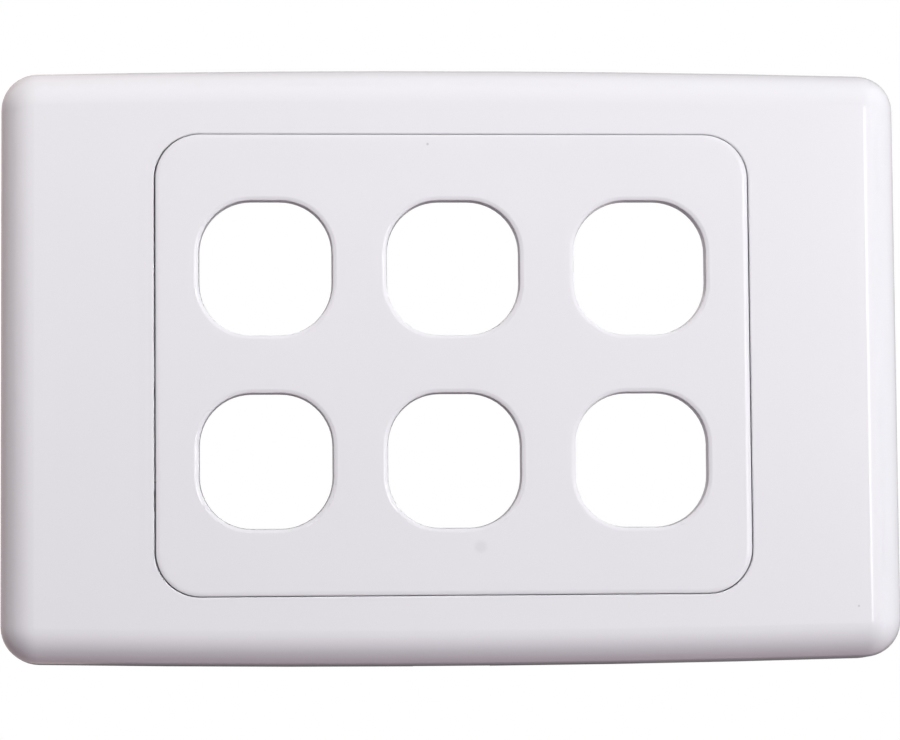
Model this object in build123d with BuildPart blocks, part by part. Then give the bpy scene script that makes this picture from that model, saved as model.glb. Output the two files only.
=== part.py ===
"""Six-gang wall plate: a moulded grid that screws to the wall and a cover that snaps over it.

Both mouldings are modelled lying on their backs, X across, Y up the wall and Z out from the wall,
and are stood up at the end so that their fronts face -Y. All sizes are in millimetres and degrees.
"""

import os
from math import radians, tan

from build123d import *

os.makedirs("parts", exist_ok=True)

# Cover: outline at the wall, front face and walls
cover_width = 116.0
cover_height = 75.75
long_edge_bow = 0.7
face_height = 10.5
edge_roll = 4.4
corner_extra = 0.15
skirt_draft = 2.0
cover_wall = 2.0
wall_clearance = 0.3
opening_edge_break = 0.1

# Apertures for the switch mechanisms
aperture_columns = 3
aperture_rows = 2
aperture_pitch_x = 24.0
aperture_pitch_y = 24.7
aperture_width = 16.88
aperture_height = 17.13
aperture_corner_radius = 6.6
aperture_draft = 4.0
aperture_edge_width = 0.45
aperture_edge_depth = 0.16

# Raised panel of the grid, with a border round the apertures
panel_border_x = 5.58
panel_border_y = 8.56
panel_corner_radius = 5.7
panel_rise = 0.2
panel_gap = 0.09
panel_end_play = 0.08
panel_draft = 1.0
panel_thickness = 1.8
panel_side_wall = 2.0
panel_crown_radius = 1.4
panel_crown_width = 0.6

# Flange of the grid, its fixing slots and the gussets between flange and panel
flange_thickness = 2.4
flange_clearance = 0.5
fixing_centres = 84.0
fixing_slot_width = 4.2
fixing_slot_length = 5.8
fixing_pad_margin = 1.6
fixing_pad_height = 0.8
gusset_thickness = 1.4
gusset_reach = 5.0
gusset_clearance = 0.6
gusset_spacing = 28.0

# Seat rims, dividing ribs and clip arms behind the apertures
seat_ledge = 0.9
seat_rim_thickness = 1.0
seat_rim_height = 1.5
divider_thickness = 1.2
divider_height = 5.0
clip_width = 6.0
clip_thickness = 1.2
clip_length = 6.0
clip_nose = 0.7
clip_nose_land = 0.3
clip_grip = 2.8

# Snap fit: catches on the grid, fingers on the cover
snap_spacing = 48.0
snap_catch_width = 8.0
snap_catch_height = 0.6
snap_catch_crest = 0.3
snap_catch_ramp = 1.0
snap_engagement = 0.4
snap_side_clearance = 0.2
snap_end_clearance = 0.6
snap_play = 0.15
snap_finger_margin = 0.5
snap_finger_thickness = 1.2
snap_nose_land = 0.3
snap_lead_in = 1.05
snap_root = 0.3

# Collar, seating ribs and prising notch of the cover
collar_thickness = 1.4
collar_depth = 1.5
rib_thickness = 1.4
rib_reach = 6.5
rib_spacing_x = 36.0
rib_spacing_y = 40.0
notch_width = 10.0
notch_height = 1.2

# Heights above the wall
panel_top = face_height + panel_rise
panel_back = panel_top - panel_thickness
cover_back = face_height - cover_wall
collar_end = cover_back - collar_depth
finger_end = flange_thickness + snap_end_clearance

# Sizes across the wall
panel_width = aperture_pitch_x * (aperture_columns - 1) + aperture_width + 2 * panel_border_x
panel_height = aperture_pitch_y * (aperture_rows - 1) + aperture_height + 2 * panel_border_y
aperture_spread = panel_thickness * tan(radians(aperture_draft))
skirt_spread = (face_height - wall_clearance) * tan(radians(skirt_draft))
cover_corner_radius = edge_roll + corner_extra + skirt_spread
flange_inset = cover_wall + flange_clearance
row_centres = [aperture_pitch_y * (row - (aperture_rows - 1) / 2) for row in range(aperture_rows)]
column_centres = [aperture_pitch_x * (col - (aperture_columns - 1) / 2) for col in range(aperture_columns)]
divider_centres = [(left + right) / 2 for left, right in zip(column_centres, column_centres[1:])]
snap_centres = [-snap_spacing / 2, snap_spacing / 2]
gusset_centres = [-gusset_spacing / 2, gusset_spacing / 2]

# Snap fit, as distances from the panel wall and heights above the wall
finger_inner = snap_catch_height + snap_side_clearance
nose_tip = snap_catch_height - snap_engagement
nose_back = finger_end + snap_lead_in
nose_front = nose_back + snap_nose_land
catch_foot = nose_front - nose_tip + snap_play
catch_crest = catch_foot + snap_catch_height
catch_end = catch_crest + snap_catch_crest + snap_catch_ramp


def panel_spread(height):
    """How far the drafted panel wall stands outside its front outline at a height above the wall."""
    return (panel_top - height) * tan(radians(panel_draft))


def panel_section(height, growth, end_play=0):
    """Panel outline at a height above the wall, moved outward by growth, its ends by end_play more."""
    spread = panel_spread(height) + growth
    end_spread = spread + end_play
    RectangleRounded(panel_width + 2 * end_spread, panel_height + 2 * spread, panel_corner_radius + spread)


def seat_outline(growth, mode=Mode.ADD):
    """Square-cornered outline round one aperture, at a distance of growth from its sides."""
    Rectangle(aperture_width + 2 * growth, aperture_height + 2 * growth, mode=mode)


def cover_outline(inset):
    """Cover outline with straight short sides and bowed long sides, moved inward by inset."""
    half_width = cover_width / 2 - inset
    half_height = cover_height / 2 - inset
    with BuildLine() as sides:
        right = Line((half_width, -half_height), (half_width, half_height))
        top = ThreePointArc(right @ 1, (0, half_height + long_edge_bow), (-half_width, half_height))
        left = Line(top @ 1, (-half_width, -half_height))
        ThreePointArc(left @ 1, (0, -half_height - long_edge_bow), right @ 0)
    outline = make_face(sides.edges())
    fillet(outline.vertices(), cover_corner_radius - inset)


def beside_panel(height, distance):
    """Point of a Y-Z profile at a distance from the upper side wall of the panel."""
    return (panel_height / 2 + panel_spread(height) + distance, height)


def clip_profile(row_centre):
    """Y-Z profile of the clip arm above one aperture: arm, nose that holds a mechanism, lead-in."""
    inner = row_centre + aperture_height / 2 + seat_ledge + seat_rim_thickness
    end = panel_back - clip_length
    hold = panel_back - seat_rim_height - clip_grip
    return [
        (inner, panel_back),
        (inner, hold),
        (inner - clip_nose, hold - clip_nose),
        (inner - clip_nose, hold - clip_nose - clip_nose_land),
        (inner, end),
        (inner + clip_thickness, end),
        (inner + clip_thickness, panel_back),
    ]


def catch_profile():
    """Y-Z profile of a catch on the panel wall: holding face, crest, ramp towards the front."""
    return [
        beside_panel(catch_foot, -snap_root),
        beside_panel(catch_foot, 0),
        beside_panel(catch_crest, snap_catch_height),
        beside_panel(catch_crest + snap_catch_crest, snap_catch_height),
        beside_panel(catch_end, 0),
        beside_panel(catch_end, -snap_root),
    ]


def finger_profile():
    """Y-Z profile of a snap finger: arm from the front wall, nose behind the catch, lead-in."""
    root = face_height - cover_wall / 2
    return [
        beside_panel(root, finger_inner),
        beside_panel(nose_front + finger_inner - nose_tip, finger_inner),
        beside_panel(nose_front, nose_tip),
        beside_panel(nose_back, nose_tip),
        beside_panel(finger_end, finger_inner),
        beside_panel(finger_end, finger_inner + snap_finger_thickness),
        beside_panel(root, finger_inner + snap_finger_thickness),
    ]


# Crown of the panel: a wider block with a round front edge, of which the panel keeps the gentle part
with BuildPart() as panel_crown:
    with BuildSketch():
        panel_section(0, panel_crown_radius - panel_crown_width)
    extrude(amount=panel_top, taper=panel_draft)
    fillet(panel_crown.faces().sort_by(Axis.Z)[-1].edges(), panel_crown_radius)

# Grid: raised panel, drafted to leave its mould, and flange
with BuildPart() as grid_moulding:
    with BuildSketch():
        panel_section(0, 0)
    extrude(amount=panel_top, taper=panel_draft)
    add(panel_crown.part, mode=Mode.INTERSECT)
    with BuildSketch():
        RectangleRounded(
            cover_width - 2 * flange_inset,
            cover_height - 2 * flange_inset,
            cover_corner_radius - flange_inset,
        )
    extrude(amount=flange_thickness)

    # Pads for the screw heads, with the fixing slots through them
    with BuildSketch(Plane.XY.offset(flange_thickness)):
        with GridLocations(fixing_centres, 0, 2, 1):
            SlotOverall(
                fixing_slot_length + 2 * fixing_pad_margin,
                fixing_slot_width + 2 * fixing_pad_margin,
            )
    extrude(amount=fixing_pad_height)
    with BuildSketch():
        with GridLocations(fixing_centres, 0, 2, 1):
            SlotOverall(fixing_slot_length, fixing_slot_width)
    extrude(amount=flange_thickness + fixing_pad_height, mode=Mode.SUBTRACT)

    # Gussets that stiffen the foot of the panel's short walls
    gusset_foot = panel_width / 2 + panel_spread(flange_thickness)
    with BuildSketch(*[Plane.XZ.offset(y - gusset_thickness / 2) for y in gusset_centres]):
        with BuildLine():
            Polyline(
                (gusset_foot - panel_side_wall / 2, flange_thickness),
                (gusset_foot + gusset_reach, flange_thickness),
                (gusset_foot, collar_end - gusset_clearance),
                (gusset_foot - panel_side_wall / 2, collar_end - gusset_clearance),
                close=True,
            )
        make_face()
        mirror(about=Plane.YZ)
    extrude(amount=gusset_thickness)

    # Catches for the cover's snap fingers on the panel's long walls
    with BuildSketch(*[Plane.YZ.offset(x - snap_catch_width / 2) for x in snap_centres]):
        with BuildLine():
            Polyline(*catch_profile(), close=True)
        make_face()
        mirror(about=Plane.YZ)
    extrude(amount=snap_catch_width)

    # Hollow back, then the apertures, which widen towards the front and have eased front edges
    with BuildSketch():
        panel_section(0, -panel_side_wall)
    extrude(amount=panel_back, taper=panel_draft, mode=Mode.SUBTRACT)
    with BuildSketch(Plane.XY.offset(panel_top)):
        with GridLocations(aperture_pitch_x, aperture_pitch_y, aperture_columns, aperture_rows):
            RectangleRounded(
                aperture_width + 2 * aperture_spread,
                aperture_height + 2 * aperture_spread,
                aperture_corner_radius + aperture_spread,
            )
    extrude(amount=-panel_thickness, taper=aperture_draft, mode=Mode.SUBTRACT)
    panel_face = grid_moulding.faces().sort_by(Axis.Z)[-1]
    aperture_edges = panel_face.inner_wires().edges()
    chamfer(aperture_edges, aperture_edge_width, aperture_edge_depth, reference=panel_face)

    # Seat rim behind each aperture, which takes the square shoulder of a mechanism
    with BuildSketch(Plane.XY.offset(panel_back)):
        with GridLocations(aperture_pitch_x, aperture_pitch_y, aperture_columns, aperture_rows):
            seat_outline(seat_ledge + seat_rim_thickness)
            seat_outline(seat_ledge, mode=Mode.SUBTRACT)
    extrude(amount=-seat_rim_height)

    # Dividing ribs between the columns, from wall to wall of the hollow
    with BuildSketch(Plane.XY.offset(panel_back)):
        with Locations(*[(x, 0) for x in divider_centres]):
            Rectangle(divider_thickness, panel_height - panel_side_wall)
    extrude(amount=-divider_height)

    # Two clip arms for each mechanism, above and below its aperture
    with BuildSketch(*[Plane.YZ.offset(x - clip_width / 2) for x in column_centres]):
        for row_centre in row_centres:
            with BuildLine():
                Polyline(*clip_profile(row_centre), close=True)
            make_face()
        mirror(about=Plane.YZ)
    extrude(amount=clip_width)

# Outer form of the cover, before it is hollowed
with BuildPart() as cover_form:
    with BuildSketch(Plane.XY.offset(wall_clearance)):
        cover_outline(0)
    extrude(amount=face_height - wall_clearance, taper=skirt_draft)
    fillet(cover_form.faces().sort_by(Axis.Z)[-1].edges(), edge_roll)

# Space inside the cover: one wall in from the outer form, slotted where ribs and collar stand
with BuildPart() as cover_core:
    with BuildSketch(Plane.XY.offset(wall_clearance)):
        cover_outline(cover_wall)
    extrude(amount=cover_back - wall_clearance, taper=skirt_draft)
    fillet(cover_core.faces().sort_by(Axis.Z)[-1].edges(), edge_roll - cover_wall)
    with BuildSketch(Plane.XY.offset(flange_thickness)):
        with GridLocations(cover_width - rib_reach, rib_spacing_y, 2, 2):
            Rectangle(rib_reach, rib_thickness)
        with GridLocations(rib_spacing_x, cover_height - rib_reach, 3, 2):
            Rectangle(rib_thickness, rib_reach)
    extrude(amount=cover_back, mode=Mode.SUBTRACT)
    with BuildSketch(Plane.XY.offset(collar_end)):
        panel_section(collar_end, panel_gap + collar_thickness, panel_end_play)
    extrude(amount=collar_depth, taper=panel_draft, mode=Mode.SUBTRACT)

# Cover: outer form less its core, opening for the panel, snap fingers, prising notch
with BuildPart() as cover_moulding:
    add(cover_form.part)
    add(cover_core.part, mode=Mode.SUBTRACT)
    with BuildSketch():
        panel_section(0, panel_gap, panel_end_play)
    extrude(amount=face_height, taper=panel_draft, mode=Mode.SUBTRACT)
    front_face = cover_moulding.faces().sort_by(Axis.Z)[-1]
    chamfer(front_face.inner_wires().edges(), opening_edge_break)
    finger_width = snap_catch_width + 2 * snap_finger_margin
    with BuildSketch(*[Plane.YZ.offset(x - finger_width / 2) for x in snap_centres]):
        with BuildLine():
            Polyline(*finger_profile(), close=True)
        make_face()
        mirror(about=Plane.YZ)
    extrude(amount=finger_width)
    with BuildSketch(Plane.XY.offset(wall_clearance)):
        with Locations((0, -cover_height / 2)):
            Rectangle(notch_width, 2 * (cover_wall + long_edge_bow))
    extrude(amount=notch_height, mode=Mode.SUBTRACT)

# Both pieces stood up against the wall, fronts towards -Y
upright = (90, 0, 0)
with BuildPart() as grid_plate:
    add(grid_moulding.part, rotation=upright)

with BuildPart() as cover_plate:
    add(cover_moulding.part, rotation=upright)

grid_plate.part.label = "grid_plate"
export_step(grid_plate.part, "parts/grid_plate.step")
cover_plate.part.label = "cover_plate"
export_step(cover_plate.part, "parts/cover_plate.step")
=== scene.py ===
"""Looks of a six-gang wall plate: finishes for its two mouldings, and the stage that shows them.

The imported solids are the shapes. Each moulding keeps its own mesh and gets a moulded plastic finish.
"""

import math

import bpy
import numpy as np
from mathutils import Matrix, Vector


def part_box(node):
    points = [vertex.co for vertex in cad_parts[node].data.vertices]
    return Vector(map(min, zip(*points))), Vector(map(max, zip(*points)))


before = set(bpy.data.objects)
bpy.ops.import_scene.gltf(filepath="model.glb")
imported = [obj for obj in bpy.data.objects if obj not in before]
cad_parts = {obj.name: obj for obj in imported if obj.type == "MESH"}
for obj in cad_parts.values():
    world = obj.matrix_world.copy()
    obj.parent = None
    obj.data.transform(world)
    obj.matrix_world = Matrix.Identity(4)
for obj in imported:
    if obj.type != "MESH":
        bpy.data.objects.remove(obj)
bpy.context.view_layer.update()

bl_info = {
    "name": "Wall plate finishes",
    "version": (1, 0, 0),
    "blender": (4, 5, 0),
    "location": "3D View > Sidebar > Wall plate",
    "description": "Finishes the mouldings of a wall plate and sets its stage",
    "category": "Object",
}

MILLIMETRE = 0.001
MICROMETRE = 0.000001
WHITE = (1.0, 1.0, 1.0, 1.0)

# Sockets of the mix node when it mixes colours
MIX_FACTOR = 0
MIX_A = 6
MIX_B = 7
MIX_RESULT = 2

# The one face of a sheet, whose four points are two rows of two
SHEET_FACE = (0, 1, 3, 2)

# Nearest distance that the camera sees
CLIP_START = 10 * MILLIMETRE

# Octaves of noise in each pattern of the plastic
CLOUD_DETAIL = 3.0
HANDLING_DETAIL = 2.0
RIPPLE_DETAIL = 1.0
GRAIN_DETAIL = 2.0

# How far the patterns of each moulding are moved, in metres, so that the two differ
GRID_PATTERN_OFFSET = (0.0, 0.0, 0.0)
COVER_PATTERN_OFFSET = (0.31, 0.17, 0.23)

# Dust on the fronts: place and radius in metres, and strength where it is thickest
PANEL_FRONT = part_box("grid_plate")[0][1]
COVER_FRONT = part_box("cover_plate")[0][1]
GRID_DUST = (
    ((-0.0032, PANEL_FRONT, 0.02825), 0.00022, 0.5),
    ((0.0032, PANEL_FRONT, -0.0234), 0.0011, 0.12),
)
COVER_DUST = (((0.0517, COVER_FRONT, -0.03125), 0.0002, 0.45),)

# Share of a dust mark's radius that has its full strength
DUST_CORE = 1 / 3

# Lamps as azimuth and elevation in degrees, distance, width and height in metres, power in watts,
# colour, and whether the plate's shine shows them. Azimuth 0 is in front of the plate and 90 to its
# right, as the picture shows it.
LAMPS = {
    "key_softbox": (18.0, 26.0, 0.6, 0.36, 0.36, 2.61, "#F9FFFE", False),
    "strip_light": (19.0, 5.0, 1.2, 0.12, 0.3, 1.3, "#FFFFFF", True),
    "left_fill": (-40.0, 45.0, 0.35, 0.2, 0.2, 0.26, "#FFF6EC", False),
    "right_fill": (82.0, 5.0, 1.4, 1.0, 1.0, 6.6, "#F4FFF8", False),
    "low_fill": (50.0, -45.0, 1.2, 0.8, 0.8, 2.3, "#FFEBF6", False),
    "back_left_fill": (-150.0, 12.0, 1.4, 1.2, 1.2, 12.0, "#FFFFFF", False),
    "back_right_fill": (135.0, 15.0, 1.2, 0.8, 0.8, 4.0, "#FFFFFF", False),
    "back_fill": (180.0, 12.0, 1.4, 1.2, 1.2, 3.0, "#FFFFFF", False),
}

# Where the cards stand and meet, in metres: how far out the room reaches, its walls behind the plate
# and in front of it, how far a smaller card stands off its wall, and the lines that divide the walls.
FAR = 90.0
BACK_WALL = 0.3
FRONT_WALL = -1.5
STAND_OFF = 0.01
FRONT_PALE_FROM = 0.56
BACK_LEFT_TO = -0.06
BACK_BELOW_TO = -0.3
BACK_EDGE_TO = -0.045

# Upright cards that only the plate's shine shows: distance behind the plate, left, right, lowest and
# highest place in metres, colour and strength. They stand for the room, dark in front, pale on the
# right and behind, and for the glow beside the strip light.
CARDS = {
    "room_in_front": (FRONT_WALL, -FAR, FRONT_PALE_FROM, -FAR, FAR, "#0C0C0C", 1.0),
    "room_in_front_right": (FRONT_WALL, FRONT_PALE_FROM, FAR, -FAR, FAR, "#8C8C8C", 1.0),
    "glow_beside_strip": (FRONT_WALL + STAND_OFF, 0.5, 1.45, -0.1, 0.4, "#FFFFFF", 1.1),
    "room_behind_left": (BACK_WALL, -FAR, BACK_LEFT_TO, -FAR, FAR, "#D2C0BE", 1.0),
    "room_behind_below": (BACK_WALL, BACK_LEFT_TO, FAR, -FAR, BACK_BELOW_TO, "#EADAE2", 1.0),
    "edge_behind_below": (BACK_WALL, BACK_LEFT_TO, FAR, BACK_BELOW_TO, BACK_EDGE_TO, "#606060", 1.0),
    "room_behind_right": (BACK_WALL, BACK_LEFT_TO, FAR, BACK_EDGE_TO, FAR, "#ACA4A6", 1.0),
    "room_behind_middle": (BACK_WALL - STAND_OFF, -0.13, 0.06, -0.1, 0.06, "#404040", 1.0),
}


def linear(code):
    """Linear red, green and blue of an sRGB hex colour such as "#EEEDF2", by the standard's curve."""
    shares = [int(code[at : at + 2], 16) / 255 for at in (1, 3, 5)]
    return tuple(s / 12.92 if s <= 0.04045 else ((s + 0.055) / 1.055) ** 2.4 for s in shares)


def direction(azimuth, elevation):
    """Unit vector towards an azimuth and an elevation in degrees; azimuth 0 is in front, 90 right."""
    across, up = math.radians(azimuth), math.radians(elevation)
    return Vector((math.sin(across) * math.cos(up), -math.cos(across) * math.cos(up), math.sin(up)))


def put(tree, kind, inputs=None, **settings):
    """Adds a node with its settings; each input is a value, or an output socket to link."""
    made = tree.nodes.new(kind)
    for name, value in settings.items():
        setattr(made, name, value)
    for socket, value in (inputs or {}).items():
        if isinstance(value, bpy.types.NodeSocket):
            tree.links.new(value, made.inputs[socket])
        else:
            made.inputs[socket].default_value = value
    return made


def empty_tree(owner):
    """Node tree of a material or a world, with its first nodes taken out."""
    owner.use_nodes = True
    owner.node_tree.nodes.clear()
    return owner.node_tree


def moulded_abs(name, finish, offset, dust):
    """Material of white ABS, injection moulded in a finely polished mould.

    To the eye it is an even, cool white with a soft sheen: faint clouds in the pigment, edges that the
    mould left slightly round, shallow flow ripples that bend reflections a little, and a fine grain.
    offset moves the patterns in metres.
    """
    material = bpy.data.materials.new(name)
    tree = empty_tree(material)
    place = put(tree, "ShaderNodeTexCoord").outputs["Object"]
    moved = put(tree, "ShaderNodeMapping", {"Vector": place, "Location": offset}).outputs["Vector"]

    # Pigment clouds, then the dust
    clouds = {"Vector": moved, "Scale": 1 / finish.cloud_size, "Detail": CLOUD_DETAIL}
    cloudy = put(tree, "ShaderNodeTexNoise", clouds).outputs["Fac"]
    pigment = {MIX_FACTOR: cloudy, MIX_A: (*finish.colour, 1.0), MIX_B: (*finish.shade, 1.0)}
    colour = put(tree, "ShaderNodeMix", pigment, data_type="RGBA").outputs[MIX_RESULT]
    for where, radius, strength in dust:
        ends = {0: place, 1: where}
        away = put(tree, "ShaderNodeVectorMath", ends, operation="DISTANCE").outputs["Value"]
        edge = {
            "Value": away,
            "From Min": radius * DUST_CORE,
            "From Max": radius,
            "To Min": strength,
            "To Max": 0.0,
        }
        fade = put(tree, "ShaderNodeMapRange", edge, interpolation_type="SMOOTHSTEP").outputs["Result"]
        speck = {MIX_FACTOR: fade, MIX_A: colour, MIX_B: (*finish.dust, 1.0)}
        colour = put(tree, "ShaderNodeMix", speck, data_type="RGBA").outputs[MIX_RESULT]

    # Sheen that varies a little with handling
    patches = {"Vector": moved, "Scale": 1 / finish.handling_size, "Detail": HANDLING_DETAIL}
    handled = put(tree, "ShaderNodeTexNoise", patches).outputs["Fac"]
    spread = {
        "Value": handled,
        "To Min": finish.roughness - finish.roughness_spread,
        "To Max": finish.roughness + finish.roughness_spread,
    }
    roughness = put(tree, "ShaderNodeMapRange", spread).outputs["Result"]

    # Rounded edges, then flow ripples, then the grain of the mould
    rounded = put(tree, "ShaderNodeBevel", {"Radius": finish.edge_radius}).outputs["Normal"]
    waves = {"Vector": moved, "Scale": 1 / finish.ripple_size, "Detail": RIPPLE_DETAIL}
    ripples = {
        "Height": put(tree, "ShaderNodeTexNoise", waves).outputs["Fac"],
        "Distance": finish.ripple_height,
        "Strength": 1.0,
        "Normal": rounded,
    }
    rippled = put(tree, "ShaderNodeBump", ripples).outputs["Normal"]
    points = {"Vector": moved, "Scale": 1 / finish.grain_size, "Detail": GRAIN_DETAIL}
    grain = {
        "Height": put(tree, "ShaderNodeTexNoise", points).outputs["Fac"],
        "Distance": finish.grain_height,
        "Strength": 1.0,
        "Normal": rippled,
    }
    normal = put(tree, "ShaderNodeBump", grain).outputs["Normal"]

    surface = {"Base Color": colour, "Roughness": roughness, "IOR": finish.ior, "Normal": normal}
    shader = put(tree, "ShaderNodeBsdfPrincipled", surface)
    put(tree, "ShaderNodeOutputMaterial", {"Surface": shader.outputs["BSDF"]})
    return material


def paint_node(node, material):
    """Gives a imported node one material."""
    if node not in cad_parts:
        raise RuntimeError(f"the frame has no node named {node}")
    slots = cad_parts[node].data.materials
    slots.clear()
    slots.append(material)


def flat_sheet(name, x, y, z):
    """Sheet of one face: x, y and z are each a two by two grid of its corners, or one number for all."""
    points = np.column_stack([grid.ravel() for grid in np.broadcast_arrays(x, y, z)])
    mesh = bpy.data.meshes.new(name)
    mesh.from_pydata(points.tolist(), [], [SHEET_FACE])
    sheet = bpy.data.objects.new(name, mesh)
    bpy.context.scene.collection.objects.link(sheet)
    return sheet


def make_floor(stage):
    """Pale matt floor below the plate, which takes its shadow but neither lights nor shades it.

    To the camera, plain white is mixed in, and further out the floor is all white, so it has no far
    edge. The sheet is level, with x and y from minus to plus half its size.
    """
    half = stage.floor_size / 2
    x, y = np.meshgrid([-half, half], [-half, half])
    floor = flat_sheet("floor", x, y, -stage.floor_drop)
    material = bpy.data.materials.new("pale_floor")
    material.cycles.emission_sampling = "NONE"
    tree = empty_tree(material)
    place = put(tree, "ShaderNodeTexCoord").outputs["Object"]
    away = put(tree, "ShaderNodeVectorMath", {0: place}, operation="LENGTH").outputs["Value"]
    fade = {
        "Value": away,
        "From Min": stage.fade_start,
        "From Max": stage.fade_end,
        "To Min": stage.floor_white,
    }
    white = put(tree, "ShaderNodeMapRange", fade, interpolation_type="SMOOTHSTEP").outputs["Result"]
    seen = put(tree, "ShaderNodeLightPath").outputs["Is Camera Ray"]
    share = put(tree, "ShaderNodeMath", {0: white, 1: seen}, operation="MULTIPLY").outputs["Value"]
    paint = {"Base Color": (*stage.floor_colour, 1.0), "Roughness": stage.floor_roughness}
    matt = put(tree, "ShaderNodeBsdfPrincipled", paint).outputs["BSDF"]
    glow = put(tree, "ShaderNodeEmission", {"Color": WHITE, "Strength": 1.0}).outputs["Emission"]
    mixed = put(tree, "ShaderNodeMixShader", {0: share, 1: matt, 2: glow}).outputs["Shader"]
    put(tree, "ShaderNodeOutputMaterial", {"Surface": mixed})
    floor.data.materials.append(material)
    floor.visible_diffuse = False
    floor.visible_glossy = False
    floor.visible_shadow = False


def make_lamps():
    """Soft rectangular lamps round the plate, each aimed at the middle of its back."""
    for name, (azimuth, elevation, distance, width, height, power, colour, shine) in LAMPS.items():
        lamp = bpy.data.lights.new(name, "AREA")
        lamp.shape = "RECTANGLE"
        lamp.size = width
        lamp.size_y = height
        lamp.energy = power
        lamp.color = linear(colour)
        lamp.cycles.use_multiple_importance_sampling = shine
        towards = direction(azimuth, elevation)
        holder = bpy.data.objects.new(name, lamp)
        holder.location = towards * distance
        holder.rotation_euler = towards.to_track_quat("Z", "Y").to_euler()
        holder.visible_camera = False
        holder.visible_glossy = shine
        bpy.context.scene.collection.objects.link(holder)


def make_cards():
    """Upright cards round the plate that only its shine shows: x and z span each card at one y."""
    for name, (behind, left, right, low, high, colour, strength) in CARDS.items():
        x, z = np.meshgrid([left, right], [low, high])
        card = flat_sheet(name, x, behind, z)
        material = bpy.data.materials.new(name)
        material.cycles.emission_sampling = "NONE"
        tree = empty_tree(material)
        glow = put(tree, "ShaderNodeEmission", {"Color": (*linear(colour), 1.0), "Strength": strength})
        put(tree, "ShaderNodeOutputMaterial", {"Surface": glow.outputs["Emission"]})
        card.data.materials.append(material)
        card.visible_camera = False
        card.visible_diffuse = False
        card.visible_transmission = False
        card.visible_shadow = False


def make_world(stage):
    """Even light from all round, and plain white where the camera or a reflection sees past the plate."""
    world = bpy.data.worlds.new("white_studio")
    tree = empty_tree(world)
    even = {"Color": (*stage.ambient_colour, 1.0), "Strength": stage.ambient}
    light = put(tree, "ShaderNodeBackground", even).outputs["Background"]
    white = put(tree, "ShaderNodeBackground", {"Color": WHITE, "Strength": 1.0}).outputs["Background"]
    rays = put(tree, "ShaderNodeLightPath").outputs
    seen = rays["Is Camera Ray"]
    for kind in ("Is Glossy Ray", "Is Transmission Ray"):
        either = {0: seen, 1: rays[kind]}
        seen = put(tree, "ShaderNodeMath", either, operation="MAXIMUM").outputs["Value"]
    mixed = put(tree, "ShaderNodeMixShader", {0: seen, 1: light, 2: white}).outputs["Shader"]
    put(tree, "ShaderNodeOutputWorld", {"Surface": mixed})
    bpy.context.scene.world = world


def make_camera(stage):
    """Camera on a turned line through the middle of the plate's back, with the photograph's view."""
    turn = (
        Matrix.Rotation(stage.camera_yaw, 3, "Z")
        @ Matrix.Rotation(stage.camera_pitch, 3, "X")
        @ Matrix.Rotation(stage.camera_roll, 3, "Y")
    )
    right, forward, up = turn.col
    lens = bpy.data.cameras.new("camera")
    lens.sensor_width = stage.sensor_width
    lens.lens = stage.focal_length
    lens.shift_x = stage.shift_x
    lens.clip_start = CLIP_START
    camera = bpy.data.objects.new("camera", lens)
    pose = Matrix((right, up, -forward)).transposed().to_4x4()
    pose.translation = -stage.camera_distance * forward
    camera.matrix_world = pose
    bpy.context.scene.collection.objects.link(camera)
    bpy.context.scene.camera = camera


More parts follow.
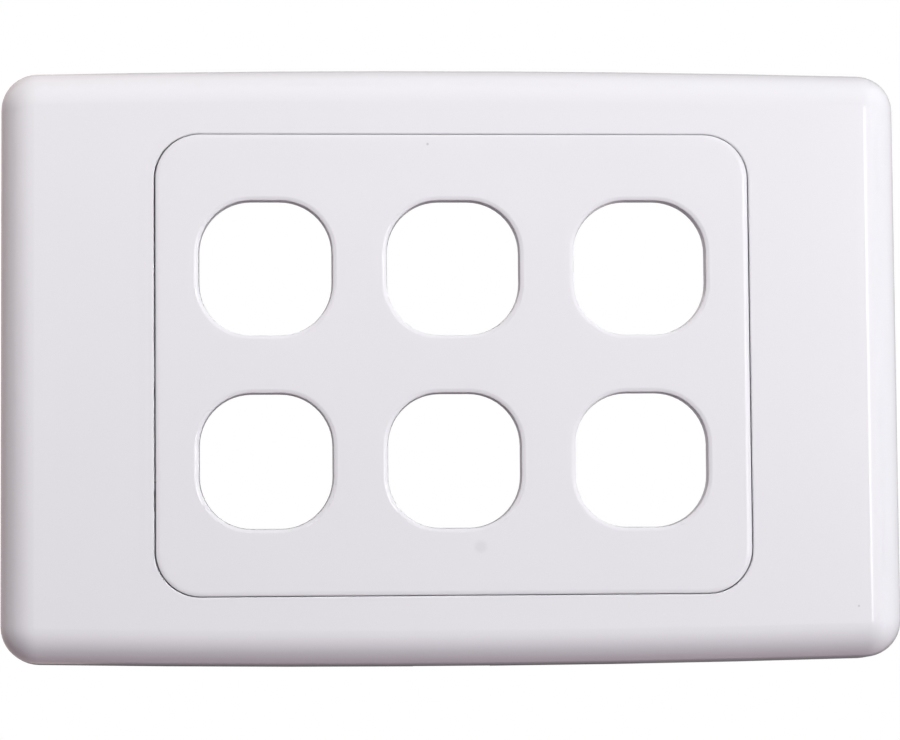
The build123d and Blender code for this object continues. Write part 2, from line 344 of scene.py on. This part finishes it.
class PlasticSettings(bpy.types.PropertyGroup):
    """Finish of one moulding."""

    colour: bpy.props.FloatVectorProperty(
        name="Colour",
        description="Colour of the plastic itself",
        subtype="COLOR",
        default=linear("#F0EEF4"),
        min=0.0,
        max=1.0,
    )
    shade: bpy.props.FloatVectorProperty(
        name="Shade",
        description="Slightly deeper tone of the clouds in the pigment",
        subtype="COLOR",
        default=linear("#EDEBF0"),
        min=0.0,
        max=1.0,
    )
    dust: bpy.props.FloatVectorProperty(
        name="Dust",
        description="Colour of the few dust specks",
        subtype="COLOR",
        default=linear("#A9A7AC"),
        min=0.0,
        max=1.0,
    )
    roughness: bpy.props.FloatProperty(
        name="Roughness",
        description="Roughness of the moulded skin, from mirror to matt",
        subtype="FACTOR",
        default=0.15,
        min=0.0,
        max=1.0,
    )
    roughness_spread: bpy.props.FloatProperty(
        name="Roughness spread",
        description="How far handling makes the roughness vary",
        subtype="FACTOR",
        default=0.03,
        min=0.0,
        max=0.2,
    )
    ior: bpy.props.FloatProperty(
        name="Index of refraction",
        description="Index of refraction of the plastic",
        default=1.53,
        min=1.0,
        max=2.0,
    )
    edge_radius: bpy.props.FloatProperty(
        name="Edge radius",
        description="Radius over which the shading rounds the moulding's edges",
        unit="LENGTH",
        default=0.3 * MILLIMETRE,
        min=0.0,
    )
    cloud_size: bpy.props.FloatProperty(
        name="Cloud size",
        description="Size of the faint clouds in the pigment",
        unit="LENGTH",
        default=28 * MILLIMETRE,
        min=MILLIMETRE,
    )
    handling_size: bpy.props.FloatProperty(
        name="Handling size",
        description="Size of the patches where handling changes the sheen",
        unit="LENGTH",
        default=14 * MILLIMETRE,
        min=MILLIMETRE,
    )
    ripple_size: bpy.props.FloatProperty(
        name="Ripple size",
        description="Length of the shallow ripples left by the flow of the plastic",
        unit="LENGTH",
        default=5 * MILLIMETRE,
        min=MILLIMETRE,
    )
    ripple_height: bpy.props.FloatProperty(
        name="Ripple height",
        description="Height of the flow ripples",
        unit="LENGTH",
        default=3 * MICROMETRE,
        min=0.0,
    )
    # The grain of a polished mould is finer than a pixel of the picture, so it is drawn coarser here
    grain_size: bpy.props.FloatProperty(
        name="Grain size",
        description="Size of the fine grain of the mould's own surface",
        unit="LENGTH",
        default=0.35 * MILLIMETRE,
        min=0.02 * MILLIMETRE,
    )
    grain_height: bpy.props.FloatProperty(
        name="Grain height",
        description="Height of the fine grain",
        unit="LENGTH",
        default=0.3 * MICROMETRE,
        min=0.0,
    )


class StageSettings(bpy.types.PropertyGroup):
    """Camera, floor and light."""

    camera_distance: bpy.props.FloatProperty(
        name="Camera distance",
        description="Distance from the camera to the middle of the plate's back",
        unit="LENGTH",
        default=0.46,
        min=0.1,
    )
    camera_yaw: bpy.props.FloatProperty(
        name="Camera yaw",
        description="Turn of the view about the upright axis",
        subtype="ANGLE",
        default=math.radians(-3.78),
    )
    camera_pitch: bpy.props.FloatProperty(
        name="Camera pitch",
        description="Tilt of the view upwards",
        subtype="ANGLE",
        default=math.radians(4.36),
    )
    camera_roll: bpy.props.FloatProperty(
        name="Camera roll",
        description="Turn of the picture about the view",
        subtype="ANGLE",
        default=math.radians(0.46),
    )
    focal_length: bpy.props.FloatProperty(
        name="Focal length",
        description="Focal length of the lens in millimetres",
        subtype="DISTANCE_CAMERA",
        default=140.76,
        min=10.0,
    )
    sensor_width: bpy.props.FloatProperty(
        name="Sensor width",
        description="Width of the sensor in millimetres",
        subtype="DISTANCE_CAMERA",
        default=36.0,
        min=1.0,
    )
    shift_x: bpy.props.FloatProperty(
        name="Shift",
        description="Sideways shift of the frame, as a share of its width",
        default=0.0014,
    )
    floor_drop: bpy.props.FloatProperty(
        name="Floor drop",
        description="Height of the plate's middle above the floor",
        unit="LENGTH",
        default=0.16,
        min=0.05,
    )
    floor_size: bpy.props.FloatProperty(
        name="Floor size",
        description="Width and depth of the floor",
        unit="LENGTH",
        default=3.0,
        min=0.5,
    )
    floor_colour: bpy.props.FloatVectorProperty(
        name="Floor colour",
        description="Colour of the pale floor",
        subtype="COLOR",
        default=linear("#F4F4F4"),
        min=0.0,
        max=1.0,
    )
    floor_roughness: bpy.props.FloatProperty(
        name="Floor roughness",
        description="Roughness of the matt floor",
        subtype="FACTOR",
        default=0.9,
        min=0.0,
        max=1.0,
    )
    floor_white: bpy.props.FloatProperty(
        name="Floor white",
        description="Share of plain white in what the camera sees of the floor below the plate",
        subtype="FACTOR",
        default=0.6,
        min=0.0,
        max=1.0,
    )
    fade_start: bpy.props.FloatProperty(
        name="Fade start",
        description="Distance at which the floor starts to fade to plain white",
        unit="LENGTH",
        default=0.3,
        min=0.0,
    )
    fade_end: bpy.props.FloatProperty(
        name="Fade end",
        description="Distance from which the floor is plain white",
        unit="LENGTH",
        default=1.2,
        min=0.0,
    )
    ambient: bpy.props.FloatProperty(
        name="Ambient light",
        description="Strength of the even light from all round",
        default=0.122,
        min=0.0,
    )
    ambient_colour: bpy.props.FloatVectorProperty(
        name="Ambient colour",
        description="Colour of the even light from all round",
        subtype="COLOR",
        default=linear("#FFE8F4"),
        min=0.0,
        max=1.0,
    )


class WallPlateSettings(bpy.types.PropertyGroup):
    """All settings of the wall plate."""

    grid: bpy.props.PointerProperty(
        name="Grid",
        description="Finish of the grid",
        type=PlasticSettings,
    )
    cover: bpy.props.PointerProperty(
        name="Cover",
        description="Finish of the cover",
        type=PlasticSettings,
    )
    stage: bpy.props.PointerProperty(
        name="Stage",
        description="Camera, floor and light",
        type=StageSettings,
    )


class WALL_PLATE_OT_finish_grid(bpy.types.Operator):
    """Finish the grid with its apertures in moulded white ABS"""

    bl_idname = "wall_plate.finish_grid"
    bl_label = "Finish grid"

    def execute(self, context):
        finish = context.scene.wall_plate.grid
        plastic = moulded_abs("white_abs_grid", finish, GRID_PATTERN_OFFSET, GRID_DUST)
        paint_node("grid_plate", plastic)
        return {"FINISHED"}


class WALL_PLATE_OT_finish_cover(bpy.types.Operator):
    """Finish the cover with its rolled edges in moulded white ABS"""

    bl_idname = "wall_plate.finish_cover"
    bl_label = "Finish cover"

    def execute(self, context):
        finish = context.scene.wall_plate.cover
        plastic = moulded_abs("white_abs_cover", finish, COVER_PATTERN_OFFSET, COVER_DUST)
        paint_node("cover_plate", plastic)
        return {"FINISHED"}


class WALL_PLATE_OT_set_stage(bpy.types.Operator):
    """Set the floor, lamps, cards, white surroundings and camera"""

    bl_idname = "wall_plate.set_stage"
    bl_label = "Set stage"

    def execute(self, context):
        stage = context.scene.wall_plate.stage
        make_floor(stage)
        make_lamps()
        make_cards()
        make_world(stage)
        make_camera(stage)
        context.scene.view_settings.view_transform = "Standard"
        return {"FINISHED"}


class WALL_PLATE_PT_sidebar(bpy.types.Panel):
    """Finishes and stage of the wall plate"""

    bl_idname = "WALL_PLATE_PT_sidebar"
    bl_label = "Wall plate"
    bl_space_type = "VIEW_3D"
    bl_region_type = "UI"
    bl_category = "Wall plate"

    def draw(self, context):
        settings = context.scene.wall_plate
        for group, operator in (
            (settings.grid, WALL_PLATE_OT_finish_grid),
            (settings.cover, WALL_PLATE_OT_finish_cover),
            (settings.stage, WALL_PLATE_OT_set_stage),
        ):
            box = self.layout.box()
            box.operator(operator.bl_idname)
            for name in type(group).__annotations__:
                box.prop(group, name)


CLASSES = (
    PlasticSettings,
    StageSettings,
    WallPlateSettings,
    WALL_PLATE_OT_finish_grid,
    WALL_PLATE_OT_finish_cover,
    WALL_PLATE_OT_set_stage,
    WALL_PLATE_PT_sidebar,
)


def register():
    """Registers the classes and hangs the settings on the scene."""
    for cls in CLASSES:
        bpy.utils.register_class(cls)
    bpy.types.Scene.wall_plate = bpy.props.PointerProperty(type=WallPlateSettings)


def unregister():
    """Takes the settings and the classes away again."""
    del bpy.types.Scene.wall_plate
    for cls in reversed(CLASSES):
        bpy.utils.unregister_class(cls)


def main():
    """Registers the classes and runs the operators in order."""
    register()
    bpy.ops.wall_plate.finish_grid()
    bpy.ops.wall_plate.finish_cover()
    bpy.ops.wall_plate.set_stage()


if __name__ == "__main__":
    main()
